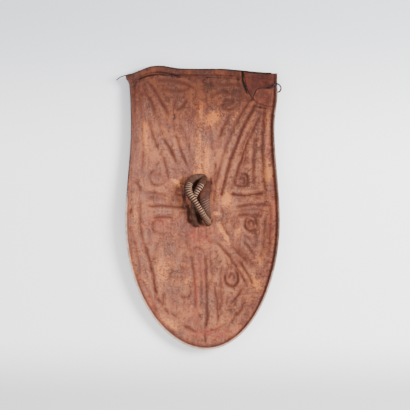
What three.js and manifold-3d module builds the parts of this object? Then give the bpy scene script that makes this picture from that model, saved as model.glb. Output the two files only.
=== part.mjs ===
// A hide shield with an embossed face, lying on its outer face with the grip side up.
// Millimetres, +X to the right of the grip side, +Y towards the straight top edge, +Z up.
// The hide is one dished sheet. Its grip face carries pressed grooves, which come out on the
// outer face as low ridges. A laced loop and a wrapped core make the grip, and two patches
// mend the torn corner.
import * as THREE from "three";
import { mergeVertices } from "three/addons/utils/BufferGeometryUtils.js";
import Module from "manifold-3d";

const wasm = await Module();
wasm.setup();

// ---- Driving dimensions ----
const BELLY_HALF_WIDTH = 244; // the widest place
const BELLY_Y = -45;
const BELLY_TO_TIP = 407; // the lower end is half an ellipse this deep
const WAIST_HALF_WIDTH = 228;
const WAIST_Y = 250;
const CORNER_FLARE = 10; // how far both top corners stand out past the waist
const EAR_FLARE = 9; // the curled left corner stands out further
const RIGHT_SWELL = 7; // the right side swells a little below its corner
const TIP_DRIFT = 11; // the tip lies a little to the right of the grip
const TOP_Y = 441;
const TOP_DROOP_RIGHT = 16;
const TOP_DROOP_LEFT = 24;
const TOP_SWELL = 9; // a low hump in the top edge, left of the middle

const HIDE = 5; // thickness of the dried hide
const FLAT_X = 60; // half size of the worn flat under the grip
const FLAT_Y = 90;
const SIDE_RISE = 52; // how far the sides, the tip and the top curl up
const TIP_RISE = 40;
const TOP_RISE = 14;
const TOP_SIDE_EASE = 0.45; // the sides flatten towards the top edge

const LIP = 8; // the cut edge is turned up by this much
const LIP_WIDTH = 5;
const BORDER = 46; // border strip along the edge
const BORDER_SWELL = 1.8;
const HEM = 19; // folded hem along the top edge, wider at the ear
const EAR_HEM = 10;
const HEM_STEP = 4.5;

const GROOVE_WIDTH = 8.5;
const GROOVE_DEPTH = 3;
const RIDGE_WIDTH = 12;
const RIDGE_HEIGHT = 1.8;
const GAP = 0.35; // clearance between neighbouring pieces
const PATCH_GAP = 0.7; // the patches lie a little looser on the slopes of the lip

// ---- Small helpers ----
const clamp = (v, lo, hi) => Math.min(hi, Math.max(lo, v));
const lerp = (a, b, t) => a + (b - a) * t;
const smooth = (t) => {
  const c = clamp(t, 0, 1);
  return c * c * (3 - 2 * c);
};
const hump = (v, centre, width) => Math.exp(-(((v - centre) / width) ** 2));

// ---- Outline ----
function topY(x) {
  const right = TOP_DROOP_RIGHT * smooth((x - 50) / 190);
  const left = TOP_DROOP_LEFT * smooth((-x - 160) / 90);
  return TOP_Y - right - left + TOP_SWELL * hump(x, -135, 45);
}

function centreX(y) {
  const below = clamp((BELLY_Y - y) / BELLY_TO_TIP, 0, 1);
  return 2 + TIP_DRIFT * below ** 3;
}

function upperHalfWidth(y, side) {
  const rise = smooth((y - BELLY_Y) / (WAIST_Y - BELLY_Y));
  const flare = CORNER_FLARE * clamp((y - WAIST_Y) / (TOP_Y - WAIST_Y), 0, 1.1) ** 2;
  const own = side < 0 ? EAR_FLARE * hump(y, 412, 16) : RIGHT_SWELL * hump(y, 350, 55);
  return lerp(BELLY_HALF_WIDTH, WAIST_HALF_WIDTH, rise) + flare + own;
}

// q runs down one side: 0 at the top edge, 1 at the belly, 2 at the tip.
function sidePoint(side, q) {
  if (q > 1) {
    const angle = ((q - 1) * Math.PI) / 2;
    const y = BELLY_Y - BELLY_TO_TIP * Math.sin(angle);
    return [centreX(y) + side * BELLY_HALF_WIDTH * Math.cos(angle), y];
  }
  const top = topY(side * (WAIST_HALF_WIDTH + CORNER_FLARE));
  const y = lerp(top, BELLY_Y, q);
  return [centreX(y) + side * upperHalfWidth(y, side), y];
}

// A point d inside the edge, square to it. Beside the top edge it is level instead.
function borderPoint(side, q, d) {
  const [x, y] = sidePoint(side, q);
  if (q < 0.06) return [x - side * d, y];
  if (q > 1.99) return [centreX(y), y + d];
  const [ax, ay] = sidePoint(side, q - 0.01);
  const [bx, by] = sidePoint(side, q + 0.01);
  const length = Math.hypot(bx - ax, by - ay);
  return [x + (side * (by - ay) * d) / length, y - (side * (bx - ax) * d) / length];
}

// ---- Height of the sheet ----
function dish(x, y) {
  const out = Math.max(0, Math.abs(x - centreX(y)) - FLAT_X) / (BELLY_HALF_WIDTH - FLAT_X);
  const down = Math.max(0, -FLAT_Y - y) / (BELLY_TO_TIP - BELLY_Y - FLAT_Y);
  const up = Math.max(0, y - FLAT_Y) / (TOP_Y - FLAT_Y);
  const side = SIDE_RISE * (1 - TOP_SIDE_EASE * smooth((y - 100) / 340));
  return side * out ** 2 + TIP_RISE * down ** 2 + TOP_RISE * up ** 2;
}

// Turned-up lip, a groove inside it, then the swelling border strip; d is the way in from the edge.
// The lip dies out towards the top edge.
const lipShare = (q) => smooth((q - 0.02) / 0.16);

function borderRelief(d, q) {
  const lip = LIP * (1 - smooth((d - LIP_WIDTH) / 6)) * lipShare(q);
  const groove = -2.2 * hump(d, 11, 4);
  const swell = BORDER_SWELL * hump(d, 26, 11);
  return lip + groove + swell;
}

// The fold along the top edge, t is the way down from the edge. It dies out to the right.
function hemRelief(t, x) {
  const width = HEM + EAR_HEM * smooth((-185 - x) / 30);
  const height = HEM_STEP * (1 - 0.7 * smooth((x - 70) / 60));
  return height * smooth((t + 2) / 4) * (1 - smooth((t - width + 2) / 3));
}

// ---- Grid of the sheet: border, field, border in each row ----
const BORDER_STEPS = [0, LIP_WIDTH, 10, 16, 26, BORDER];
const FIELD_STEPS = 8;
const ROWS = [0, 0.004, 0.036, 0.043, 0.062];
for (let i = 1; i <= 9; i++) ROWS.push(0.062 + (0.938 * i) / 9);
for (let i = 1; i <= 11; i++) ROWS.push(1 + i / 11);

function gridPoint(q, column) {
  const last = BORDER_STEPS.length - 1;
  const far = 2 * last + FIELD_STEPS;
  if (column <= last) return [...borderPoint(-1, q, BORDER_STEPS[column]), BORDER_STEPS[column]];
  if (column >= far - last) {
    return [...borderPoint(1, q, BORDER_STEPS[far - column]), BORDER_STEPS[far - column]];
  }
  const share = (column - last) / FIELD_STEPS;
  const [ax, ay] = borderPoint(-1, q, BORDER);
  const [bx, by] = borderPoint(1, q, BORDER);
  return [lerp(ax, bx, share), lerp(ay, by, share), BORDER];
}

// Rows follow the hump of the top edge close to it and level out further down.
function sheetPoint(q, column) {
  const [x, y, d] = gridPoint(q, column);
  const [, edgeY] = gridPoint(0, column);
  const lift = (topY(x) - edgeY) * (1 - smooth(q / 0.35));
  const yy = y + lift;
  return { x, y: yy, z: dish(x, yy), d, q, t: Math.max(0, topY(x) - yy) };
}

const innerRelief = (p) => borderRelief(p.d, p.q) + hemRelief(p.t, p.x);
const outerRelief = (p) => {
  const side = 5 * lipShare(p.q) * (1 - smooth(p.d / 9)) ** 2;
  return Math.max(side, 2 * (1 - smooth(p.t / 5)));
};

// A closed sheet between two heights, each given for a grid point.
function sheet(low, high) {
  const columns = 2 * (BORDER_STEPS.length - 1) + FIELD_STEPS + 1;
  const points = [];
  const faces = [];
  for (const height of [low, high]) {
    for (const q of ROWS) {
      for (let c = 0; c < columns; c++) {
        const p = sheetPoint(q, c);
        points.push([p.x, p.y, height(p)]);
      }
    }
  }
  const half = ROWS.length * columns;
  const quad = (a, b, c, d) => faces.push([a, b, c], [a, c, d]);
  for (let r = 0; r + 1 < ROWS.length; r++) {
    for (let c = 0; c + 1 < columns; c++) {
      const a = r * columns + c;
      quad(a, a + 1, a + columns + 1, a + columns);
      quad(half + a, half + a + columns, half + a + columns + 1, half + a + 1);
    }
    const left = r * columns;
    const right = left + columns - 1;
    quad(left, left + columns, half + left + columns, half + left);
    quad(right, half + right, half + right + columns, right + columns);
  }
  for (let c = 0; c + 1 < columns; c++) quad(c, half + c, half + c + 1, c + 1);
  return solid(points, faces);
}

// ---- Solids ----
// Points and triangles to a closed solid, facing out whichever way the faces were listed.
function solid(points, faces) {
  const geometry = new THREE.BufferGeometry();
  geometry.setAttribute("position", new THREE.Float32BufferAttribute(points.flat(), 3));
  geometry.setIndex(faces.flat());
  return solidOf(geometry);
}

function solidOf(geometry) {
  const bare = geometry.clone();
  bare.deleteAttribute("normal");
  bare.deleteAttribute("uv");
  const merged = mergeVertices(bare, 1e-3);
  const index = merged.index.array;
  const position = merged.attributes.position;
  const kept = [];
  let volume = 0;
  const [a, b, c] = [new THREE.Vector3(), new THREE.Vector3(), new THREE.Vector3()];
  for (let i = 0; i < index.length; i += 3) {
    const [p, q, r] = index.slice(i, i + 3);
    if (p === q || q === r || r === p) continue;
    a.fromBufferAttribute(position, p);
    b.fromBufferAttribute(position, q);
    c.fromBufferAttribute(position, r);
    volume += a.dot(b.cross(c));
    kept.push([p, q, r]);
  }
  const triVerts = new Uint32Array(kept.flatMap((f) => (volume < 0 ? [f[0], f[2], f[1]] : f)));
  return new wasm.Manifold(
    new wasm.Mesh({ numProp: 3, vertProperties: position.array, triVerts }),
  );
}

const joined = (solids) => solids.reduce((whole, piece) => whole.add(piece));

// A closed sweep: one ring of points for each place, then flat ends unless it is a loop.
function sweep(rings, loop = false) {
  const sides = rings[0].length;
  const points = rings.flat();
  const faces = [];
  const count = loop ? rings.length : rings.length - 1;
  for (let r = 0; r < count; r++) {
    const next = ((r + 1) % rings.length) * sides;
    for (let s = 0; s < sides; s++) {
      const t = (s + 1) % sides;
      faces.push([r * sides + s, r * sides + t, next + t], [r * sides + s, next + t, next + s]);
    }
  }
  if (!loop) {
    const end = (rings.length - 1) * sides;
    for (let s = 1; s + 1 < sides; s++) {
      faces.push([0, s + 1, s], [end, end + s, end + s + 1]);
    }
  }
  return solid(points, faces);
}

function prism(outline, low, high) {
  const shape = new THREE.Shape(outline.map(([x, y]) => new THREE.Vector2(x, y)));
  const extruded = new THREE.ExtrudeGeometry(shape, { depth: high - low, bevelEnabled: false });
  extruded.translate(0, 0, low);
  return solidOf(extruded);
}

function roundBar(x0, y0, x1, y1, radius, sides = 12) {
  const along = Math.atan2(y1 - y0, x1 - x0);
  const outline = [];
  for (let i = 0; i <= sides; i++) {
    const turn = along + Math.PI / 2 + (Math.PI * i) / sides;
    outline.push([x0 + radius * Math.cos(turn), y0 + radius * Math.sin(turn)]);
  }
  for (let i = 0; i <= sides; i++) {
    const turn = along - Math.PI / 2 + (Math.PI * i) / sides;
    outline.push([x1 + radius * Math.cos(turn), y1 + radius * Math.sin(turn)]);
  }
  return outline;
}

// ---- Pressed ornament: each stroke is from, to and how far it bows to its left ----
const FAN_RIGHT = [
  [91, 299, 53, 218, -2],
  [151, 340, 36, 11, -22],
  [172, 331, 60, 27, -14],
  [188, 296, 99, 64, -8],
  [172, 227, 166, 64, -5],
];
const FAN_LEFT = [
  [-172, 400, -100, 287, 3],
  [-85, 237, -44, 124, -3],
  [-185, 365, -149, 296, 6],
  [-125, 224, -80, 136, 2],
  [-171, 281, -138, 183, -4],
  [-130, 168, -107, 80, 4],
];
const BORDER_LINES = [
  [201, 318, 201, 49, -9],
  [198, -27, 182, -171, 7],
  [138, -303, 94, -359, 2],
  [82, -368, 19, -397, 4],
  [-201, 356, -191, 111, 8],
  [-223, 83, -191, 39, 12],
  [-194, 24, -185, -118, -8],
  [-185, -118, -147, -287, 6],
  [-16, -397, -66, -375, 2],
];
const BARS = [
  [85, 44, 201, 49, -10],
  [100, -2, 207, 9, 3],
  [107, -30, 191, -30, 5],
  [-185, 42, -103, 33, 6],
  [-179, 3, -50, -3, 2],
  [-163, -36, -91, -38, 5],
  [-157, -83, -100, -102, 5],
];
const HEAD_LINES = [
  [-82, 353, -89, 313, -3],
  [-47, 353, -85, 308, 7],
  [-151, 403, -22, 378, 12],
  [-132, 381, -34, 386, -13],
  [44, 390, 129, 387, 5],
  [19, 350, 103, 356, 14],
  [-16, 353, 19, 353, -9],
  [103, 347, 132, 353, -9],
  [60, 325, 110, 325, -14],
  [60, 325, 103, 337, 13],
];
const RAYS = [
  [60, -45, 88, -96, -2],
  [129, -105, 166, -158, 2],
  [94, -124, 138, -174, 2],
  [44, -111, 141, -249, 7],
  [113, -171, 163, -252, 4],
  [129, -256, 85, -318, 3],
  [-113, -268, -119, -321, -10],
];
const STEMS = [
  [-38, -152, 9, -158, 26],
  [-38, -152, -22, -328, 5],
  [9, -158, 14, -387, 3],
  [38, -252, 49, -375, 5],
  [34, -218, 19, -262, 0],
];
// Rings: centre, radius and the part of the turn that is pressed, in degrees.
const RINGS = [
  [-143, 94, 25, 95, 345],
  [124, 86, 22, -175, 160],
  [-141, -63, 20, 20, 250],
  [155, -60, 21, -215, 110],
  [91, -230, 24, -200, 70],
  [-56, -274, 18, 150, 400],
];

function strokePath([x0, y0, x1, y1, bow]) {
  const length = Math.hypot(x1 - x0, y1 - y0);
  const steps = clamp(Math.round(length / 55), 2, 5);
  const path = [];
  for (let i = 0; i <= steps; i++) {
    const t = i / steps;
    const side = 4 * bow * t * (1 - t);
    const x = lerp(x0, x1, t) - (side * (y1 - y0)) / length;
    const y = lerp(y0, y1, t) + (side * (x1 - x0)) / length;
    path.push([x, y]);
  }
  return path;
}

function ringPath([x, y, radius, from, to]) {
  const path = [];
  const steps = Math.round((to - from) / 36);
  for (let i = 0; i <= steps; i++) {
    const turn = THREE.MathUtils.degToRad(lerp(from, to, i / steps));
    path.push([x + radius * Math.cos(turn), y + radius * Math.sin(turn)]);
  }
  return path;
}

// Ring of three points across a path, at the levels given for its middle and its outer corners.
function across(path, i, half, middle, outer) {
  const [ax, ay] = path[Math.max(i - 1, 0)];
  const [bx, by] = path[Math.min(i + 1, path.length - 1)];
  const length = Math.hypot(bx - ax, by - ay);
  const [nx, ny] = [-(by - ay) / length, (bx - ax) / length];
  const [x, y] = path[i];
  return [
    [x + nx * half, y + ny * half, outer],
    [x, y, middle],
    [x - nx * half, y - ny * half, outer],
  ];
}

// Grooves and ridges run out to nothing at both ends.
function groove(path, width = GROOVE_WIDTH, depth = GROOVE_DEPTH) {
  const rings = path.map(([x, y], i) => {
    const full = i === 0 || i === path.length - 1 ? 0.35 : 1;
    const face = dish(x, y) + HIDE;
    return across(path, i, (width * (0.6 + 0.4 * full)) * 0.75, face - depth * full, face + 1.3);
  });
  return sweep(rings);
}

function ridge(path) {
  const rings = path.map(([x, y], i) => {
    const full = i === 0 || i === path.length - 1 ? 0.3 : 1;
    const face = dish(x, y);
    const height = Math.min(RIDGE_HEIGHT * full, face - 0.5);
    return across(path, i, (RIDGE_WIDTH * (0.5 + 0.5 * full)) / 2, face - height, face + 1.2);
  });
  return sweep(rings);
}

const strokes = [FAN_RIGHT, FAN_LEFT, BORDER_LINES, BARS, HEAD_LINES, RAYS, STEMS].flat();
const pressed = [...strokes.map(strokePath), ...RINGS.map(ringPath)];
const raised = [...FAN_RIGHT, ...FAN_LEFT].map(strokePath);

// ---- Grip: places are x, y and height of the middle line, then half width and half height ----
const LOOP_OVER = [
  [9, 97, 12, 8, 5],
  [-6, 98, 18, 9, 5],
  [-22, 94, 24, 10, 5],
  [-36, 83, 34, 11, 6],
  [-44, 67, 47, 12, 7],
  [-44, 51, 56, 12, 8],
  [-36, 34, 62, 11, 8],
  [-24, 18, 64, 9, 7],
  [-10, -4, 60, 9, 7],
  [3, -24, 52, 9, 8],
  [15, -43, 32, 10, 7],
  [22, -57, 10, 8, 5],
];
const LOOP_UNDER = [
  [9, 97, 12, 8, 5],
  [3, 82, 33, 11, 7],
  [-8, 63, 50, 10, 7],
  [-18, 47, 53, 9, 7],
  [-26, 28, 50, 8, 6],
  [-28, 8, 42, 8, 7],
  [-28, -14, 36, 8, 7],
  [-25, -36, 25, 9, 7],
  [-20, -55, 10, 8, 5],
];
const CORE = [
  [20, 82, 9.5, 8, 4],
  [16, 71, 20, 13, 7],
  [10, 50, 35, 17, 9],
  [7, 20, 40, 18, 10],
  [9, -8, 36, 17, 10],
  [17, -27, 21, 13, 7],
  [23, -37, 9.5, 8, 4],
];
const WRAP_PITCH = 7;
const WRAP_RIB = 0.9;

// A flattened strand through the places, with a rib for each turn of its wrapping.
function strand(places, steps, sides, rib = WRAP_RIB) {
  const line = new THREE.CatmullRomCurve3(places.map(([x, y, z]) => new THREE.Vector3(x, y, z)));
  const rings = [];
  for (let i = 0; i <= steps; i++) {
    const t = i / steps;
    const at = line.getPoint(t);
    const ahead = line.getTangent(t);
    const wide = new THREE.Vector3(-ahead.y, ahead.x, 0).normalize();
    const tall = new THREE.Vector3().crossVectors(wide, ahead).normalize();
    const place = t * (places.length - 1);
    const from = places[Math.min(Math.floor(place), places.length - 2)];
    const to = places[Math.min(Math.floor(place), places.length - 2) + 1];
    const mix = place - Math.min(Math.floor(place), places.length - 2);
    const swell = i === 0 || i === steps ? 0 : (i % 2 ? rib : -rib / 2);
    const halfWidth = lerp(from[3], to[3], mix) + swell;
    const halfHeight = lerp(from[4], to[4], mix) + swell;
    const ring = [];
    for (let s = 0; s < sides; s++) {
      const turn = ((s + 0.5) / sides) * 2 * Math.PI;
      const point = at.clone();
      point.addScaledVector(wide, halfWidth * Math.cos(turn));
      point.addScaledVector(tall, halfHeight * Math.sin(turn));
      ring.push(point.toArray());
    }
    rings.push(ring);
  }
  return sweep(rings);
}

const LACE_RADIUS = 4.5; // laces through the hide
const STRAP_HALF = 5; // flat stitches on the outer face
const STRAP = 2.2;
const SEAT_DEPTH = 2.9; // the stitches lie in pressed seats
const LOOP_LACES = [[9, 98], [22, -57], [-20, -56]];
const CORE_LACES = [[20, 81], [24, -36]];
const KNOB = 6.5; // flat knots on the outer face

const lace = ([x, y], radius, low, high) => prism(roundBar(x, y, x, y, radius, 5), low, high);
const strapBottom = GAP;
const strapTop = GAP + STRAP;

function makeLoop() {
  const [top, right, left] = LOOP_LACES;
  const pieces = [
    strand(LOOP_OVER, 38, 8),
    strand(LOOP_UNDER, 28, 8),
    prism(roundBar(...right, ...left, STRAP_HALF, 5), strapBottom, strapTop),
    lace(top, KNOB, strapBottom, strapTop),
    ...LOOP_LACES.map((place) => lace(place, LACE_RADIUS, strapBottom + 0.5, 10)),
  ];
  return joined(pieces);
}

function makeCore() {
  const pieces = [
    strand(CORE, 24, 10),
    ...CORE_LACES.map((place) => lace(place, LACE_RADIUS, strapBottom + 0.5, 10)),
    ...CORE_LACES.map((place) => lace(place, KNOB, strapBottom, strapTop)),
  ];
  return joined(pieces);
}

// ---- Hide ----
const TEAR = [
  [127, 460], [133, 460], [134, 402], [141, 386], [145, 368], [141, 366], [133, 388], [128, 402],
];
const TEAR_FLOOR = 1; // hide left at the bottom of the tear
const SLITS = [[-91, 281, -90, 289, 2.4], [-79, -206, -76, -212, 2.4]];
const TIE_HOLE = [212, 380];
const TIE_HOLE_RADIUS = 4;

function makeHide() {
  const body = sheet((p) => p.z + outerRelief(p), (p) => p.z + HIDE + innerRelief(p));
  const seats = [
    prism(roundBar(...LOOP_LACES[1], ...LOOP_LACES[2], STRAP_HALF + 1.5, 6), -5, SEAT_DEPTH),
    ...[LOOP_LACES[0], ...CORE_LACES].map((place) => lace(place, KNOB + 1.5, -5, SEAT_DEPTH)),
  ];
  const holes = [
    ...[...LOOP_LACES, ...CORE_LACES].map((place) => lace(place, LACE_RADIUS + 0.6, -5, 20)),
    ...SLITS.map(([x0, y0, x1, y1, r]) => prism(roundBar(x0, y0, x1, y1, r, 4), -5, 60)),
    lace(TIE_HOLE, TIE_HOLE_RADIUS, -5, 80),
    sheet((p) => p.z + TEAR_FLOOR, (p) => p.z + 30).intersect(prism(TEAR, -5, 90)),
  ];
  return body
    .add(joined(raised.map(ridge)))
    .subtract(joined(pressed.map((path) => groove(path))))
    .subtract(joined([...seats, ...holes]));
}

// ---- Mended corner: two patches over the inner face, meeting along a curved seam ----
const PATCH = 2.8;
const PATCH_UPPER = [
  [136, 450], [250, 450], [250, 380], [212, 377.6], [191, 379], [173, 375],
  [166, 362], [161, 349], [151, 362], [141, 386], [136, 402],
];
const PATCH_LOWER = [
  [174, 374], [191, 378], [212, 376.6], [250, 379], [250, 322], [207, 320],
  [188, 326], [172, 334], [163, 348], [167, 362],
];

function makePatch(outline) {
  const skin = sheet(
    (p) => p.z + HIDE + innerRelief(p) + PATCH_GAP,
    (p) => p.z + HIDE + innerRelief(p) + PATCH_GAP + PATCH,
  );
  return skin.intersect(prism(outline, -10, 120)).subtract(lace(TIE_HOLE, TIE_HOLE_RADIUS, -5, 90));
}

// ---- Thongs: a tie through the seam and round the edge, and one along the top edge ----
const THONG = 1.8;
const TIE_THONG = 2.5;
const faceHeight = (x, y) => dish(x, y) + HIDE + PATCH_GAP + PATCH;

function thong(places, radius = THONG, steps = 16) {
  const round = places.map(([x, y, z]) => [x, y, z, radius, radius]);
  return strand(round, steps, 5, 0);
}

function makeTie() {
  const [x, y] = TIE_HOLE;
  const face = faceHeight(x, y);
  return thong([
    [x, y, face - 14],
    [x, y, face + 3],
    [x + 4, y, face + 8],
    [x + 12, y + 2, face + 11],
    [x + 20, y + 9, face + 13],
    [x + 28, y + 10, face + 14],
    [x + 36, y + 4, face + 10],
    [x + 39, y - 4, face + 4],
    [x + 35, y - 12, face - 4],
    [x + 28, y - 14, face - 10],
  ], TIE_THONG, 22);
}

// It rides on the folded edge, from a free end beyond the ear to the mended corner.
function makeEdgeThong() {
  const places = [[-272, 403, 45], [-258, 412, 50]];
  for (let x = -240; x <= 220; x += 23) {
    const relief = innerRelief({ d: WAIST_HALF_WIDTH + CORNER_FLARE - Math.abs(x), q: 0, t: 2, x });
    const patch = x > 110 ? PATCH_GAP + PATCH : 0;
    places.push([x, topY(x) - 0.5, dish(x, topY(x)) + HIDE + relief + patch + THONG + 1]);
  }
  return thong(places, THONG, 34);
}

// ---- Scene graph ----
const FINISHES = {
  hide: { color: 0xae765e, roughness: 0.78, metalness: 0 },
  patch: { color: 0x7c5042, roughness: 0.72, metalness: 0 },
  grip: { color: 0x96786a, roughness: 0.7, metalness: 0 },
  thong: { color: 0x6e625c, roughness: 0.75, metalness: 0 },
};

function named(name, shape, finish) {
  const { vertProperties, triVerts } = shape.getMesh();
  const geometry = new THREE.BufferGeometry();
  geometry.setAttribute("position", new THREE.BufferAttribute(vertProperties, 3));
  geometry.setIndex(new THREE.BufferAttribute(triVerts, 1));
  geometry.computeVertexNormals();
  const mesh = new THREE.Mesh(geometry, new THREE.MeshStandardMaterial(FINISHES[finish]));
  mesh.name = name;
  return mesh;
}

const shield = new THREE.Group();
shield.add(
  named("hide_body", makeHide(), "hide"),
  named("grip_loop", makeLoop(), "grip"),
  named("grip_core", makeCore(), "grip"),
  named("patch_upper", makePatch(PATCH_UPPER), "patch"),
  named("patch_lower", makePatch(PATCH_LOWER), "patch"),
  named("corner_tie", makeTie(), "thong"),
  named("edge_thong", makeEdgeThong(), "thong"),
);

// The origin is under the middle of the whole, on the level it rests on.
const bounds = new THREE.Box3().setFromObject(shield);
shield.position.set(
  -(bounds.min.x + bounds.max.x) / 2,
  -(bounds.min.y + bounds.max.y) / 2,
  -bounds.min.z,
);

export default shield;
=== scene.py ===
# %% [markdown]
# # A hide shield, laid down with its grip side up
# The shield is one dried hide, dished by drying over a form, with pressed lines, a hemmed top,
# a laced thong grip and a mended corner. The solids of the frame already hold the right sizes,
# so every piece here is measured from them and only gets finer.

# %% Load the frame
import math

import bpy
import bmesh
import numpy as np
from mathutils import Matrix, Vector, kdtree, noise


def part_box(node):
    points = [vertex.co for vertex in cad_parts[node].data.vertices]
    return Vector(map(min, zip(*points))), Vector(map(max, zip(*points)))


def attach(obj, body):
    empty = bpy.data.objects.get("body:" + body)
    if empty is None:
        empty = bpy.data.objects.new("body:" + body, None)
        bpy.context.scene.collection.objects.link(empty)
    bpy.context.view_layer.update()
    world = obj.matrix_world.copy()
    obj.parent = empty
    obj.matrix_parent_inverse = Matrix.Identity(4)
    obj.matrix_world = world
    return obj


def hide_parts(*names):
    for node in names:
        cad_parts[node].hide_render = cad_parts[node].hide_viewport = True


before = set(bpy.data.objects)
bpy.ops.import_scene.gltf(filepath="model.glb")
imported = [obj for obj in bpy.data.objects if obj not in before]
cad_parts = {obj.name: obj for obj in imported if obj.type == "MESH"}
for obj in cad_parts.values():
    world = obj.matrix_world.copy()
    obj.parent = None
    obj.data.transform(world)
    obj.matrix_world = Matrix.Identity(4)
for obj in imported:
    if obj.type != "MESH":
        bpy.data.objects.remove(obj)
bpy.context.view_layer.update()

# %% [markdown]
# ## Working sizes
# A maker would work in millimetres on the hide itself. All shapes below are worked out in
# millimetres from the middle of the grip, and only the finished points are turned into metres
# and moved to the frame's place.

# %% Sizes of the hide
BELLY_HALF, BELLY_Y, BELLY_TO_TIP = 244.0, -45.0, 407.0
WAIST_HALF, WAIST_Y = 228.0, 250.0
CORNER_FLARE, EAR_FLARE, RIGHT_SWELL, TIP_DRIFT = 10.0, 9.0, 7.0, 11.0
TOP_Y, DROOP_RIGHT, DROOP_LEFT, TOP_SWELL = 441.0, 16.0, 24.0, 9.0
HIDE, FLAT_X, FLAT_Y = 5.0, 60.0, 90.0
SIDE_RISE, TIP_RISE, TOP_RISE, SIDE_EASE = 52.0, 40.0, 14.0, 0.45
LIP, LIP_WIDTH, BORDER = 8.0, 5.0, 46.0
HEM, EAR_HEM, HEM_STEP = 19.0, 10.0, 4.5
PATCH_GAP, PATCH = 0.7, 2.8
GRIP_FROM_LEFT, GRIP_FROM_TOP = 242.0, 449.4
DEEPEST, TEAR_SKIN, THINNEST = 3.4, 1.1, 1.0


def smooth(t):
    t = np.clip(t, 0.0, 1.0)
    return t * t * (3.0 - 2.0 * t)


def hump(v, centre, width):
    return np.exp(-(((v - centre) / width) ** 2))


hide_low, hide_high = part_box("hide_body")
print("hide box", [round(v, 4) for v in (*hide_low, *hide_high)])

# %% [markdown]
# ## Outline
# The lower end is half an ellipse, the sides draw in to a waist and flare again at the top
# corners. The left corner is an ear that has curled outwards while drying. Functions of the
# way down a side give every row of the sheet its two end points.

# %% Outline functions
def top_y(x):
    right = DROOP_RIGHT * smooth((x - 50) / 190)
    left = DROOP_LEFT * smooth((-x - 160) / 90)
    return TOP_Y - right - left + TOP_SWELL * hump(x, -135, 45)


def centre_x(y):
    return 2 + TIP_DRIFT * np.clip((BELLY_Y - y) / BELLY_TO_TIP, 0, 1) ** 3


def side_point(side, q):
    q = np.asarray(q, float)
    angle = (np.clip(q, 1, 2) - 1) * math.pi / 2
    top = top_y(side * (WAIST_HALF + CORNER_FLARE))
    y_low = BELLY_Y - BELLY_TO_TIP * np.sin(angle)
    y_up = top + (BELLY_Y - top) * np.clip(q, 0, 1)
    y = np.where(q > 1, y_low, y_up)
    draw_in = smooth((y - BELLY_Y) / (WAIST_Y - BELLY_Y))
    flare = CORNER_FLARE * np.clip((y - WAIST_Y) / (TOP_Y - WAIST_Y), 0, 1.1) ** 2
    own = EAR_FLARE * hump(y, 412, 16) if side < 0 else RIGHT_SWELL * hump(y, 350, 55)
    upper = BELLY_HALF + (WAIST_HALF - BELLY_HALF) * draw_in + flare + own
    half = np.where(q > 1, BELLY_HALF * np.cos(angle), upper)
    return centre_x(y) + side * half, y


def border_point(side, q, d):
    x, y = side_point(side, q)
    ax, ay = side_point(side, np.maximum(q - 0.01, 0))
    bx, by = side_point(side, np.minimum(q + 0.01, 2))
    length = np.hypot(bx - ax, by - ay)
    nx, ny = side * (by - ay) / length, -side * (bx - ax) / length
    level = np.asarray(q) < 0.06
    tip = np.asarray(q) > 1.99
    nx = np.where(level, -side, np.where(tip, 0, nx))
    ny = np.where(level, 0, np.where(tip, 1, ny))
    return x + nx * d, y + ny * d


to_frame = Vector((hide_low.x * 1000 + GRIP_FROM_LEFT, hide_high.y * 1000 - GRIP_FROM_TOP, 0))
print("the grip's middle is at", [round(v, 1) for v in to_frame])

# %% [markdown]
# ## Height of the sheet
# The sheet lies flat under the grip and curls up towards the sides, the tip and the top. Its
# cut edge is turned up into a lip, with a groove and a swelling border strip inside it, and
# the top edge is folded into a hem. Heights are sums of such plain curves.

# %% Height functions
def dish(x, y):
    out = np.maximum(0, np.abs(x - centre_x(y)) - FLAT_X) / (BELLY_HALF - FLAT_X)
    down = np.maximum(0, -FLAT_Y - y) / (BELLY_TO_TIP - BELLY_Y - FLAT_Y)
    up = np.maximum(0, y - FLAT_Y) / (TOP_Y - FLAT_Y)
    side = SIDE_RISE * (1 - SIDE_EASE * smooth((y - 100) / 340))
    return side * out**2 + TIP_RISE * down**2 + TOP_RISE * up**2


def lip_share(q):
    return smooth((q - 0.02) / 0.16)


def border_relief(d, q):
    lip = LIP * (1 - smooth((d - LIP_WIDTH) / 6)) * lip_share(q)
    return lip - 2.2 * hump(d, 11, 4) + 1.8 * hump(d, 26, 11)


def hem_relief(t, x):
    width = HEM + EAR_HEM * smooth((-185 - x) / 30)
    height = HEM_STEP * (1 - 0.7 * smooth((x - 70) / 60))
    fold = smooth((t + 2) / 4) * (1 - smooth((t - width + 2) / 3))
    return height * fold - 0.25 * height * hump(t, width + 2.5, 2.5)


def under_relief(d, t, q):
    return np.maximum(5 * lip_share(q) * (1 - smooth(d / 9)) ** 2, 2 * (1 - smooth(t / 5)))


# Distance in from the edge, for places given as x and y.
edge_q = np.linspace(0, 2, 700)
edge_tree = kdtree.KDTree(2 * len(edge_q))
for k, side in enumerate((-1, 1)):
    for i, (x, y) in enumerate(zip(*side_point(side, edge_q))):
        edge_tree.insert((x, y, 0), k * len(edge_q) + i)
edge_tree.balance()


def edge_distance(x, y):
    return np.array([edge_tree.find((a, b, 0))[2] for a, b in zip(np.ravel(x), np.ravel(y))])


print("the rim stands", round(float(dish(246.0, -45.0)) + HIDE + LIP, 1), "mm high at the belly")

# %% [markdown]
# ## Pressed ornament
# The lines were pressed into the wet hide with a blunt tool: fans of long lines run from the
# top corners towards the grip, three bars cross each side, rays and rings fill the rest. Each
# line is given as from, to and how far it bows to its left, then how deep it is pressed.

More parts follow.
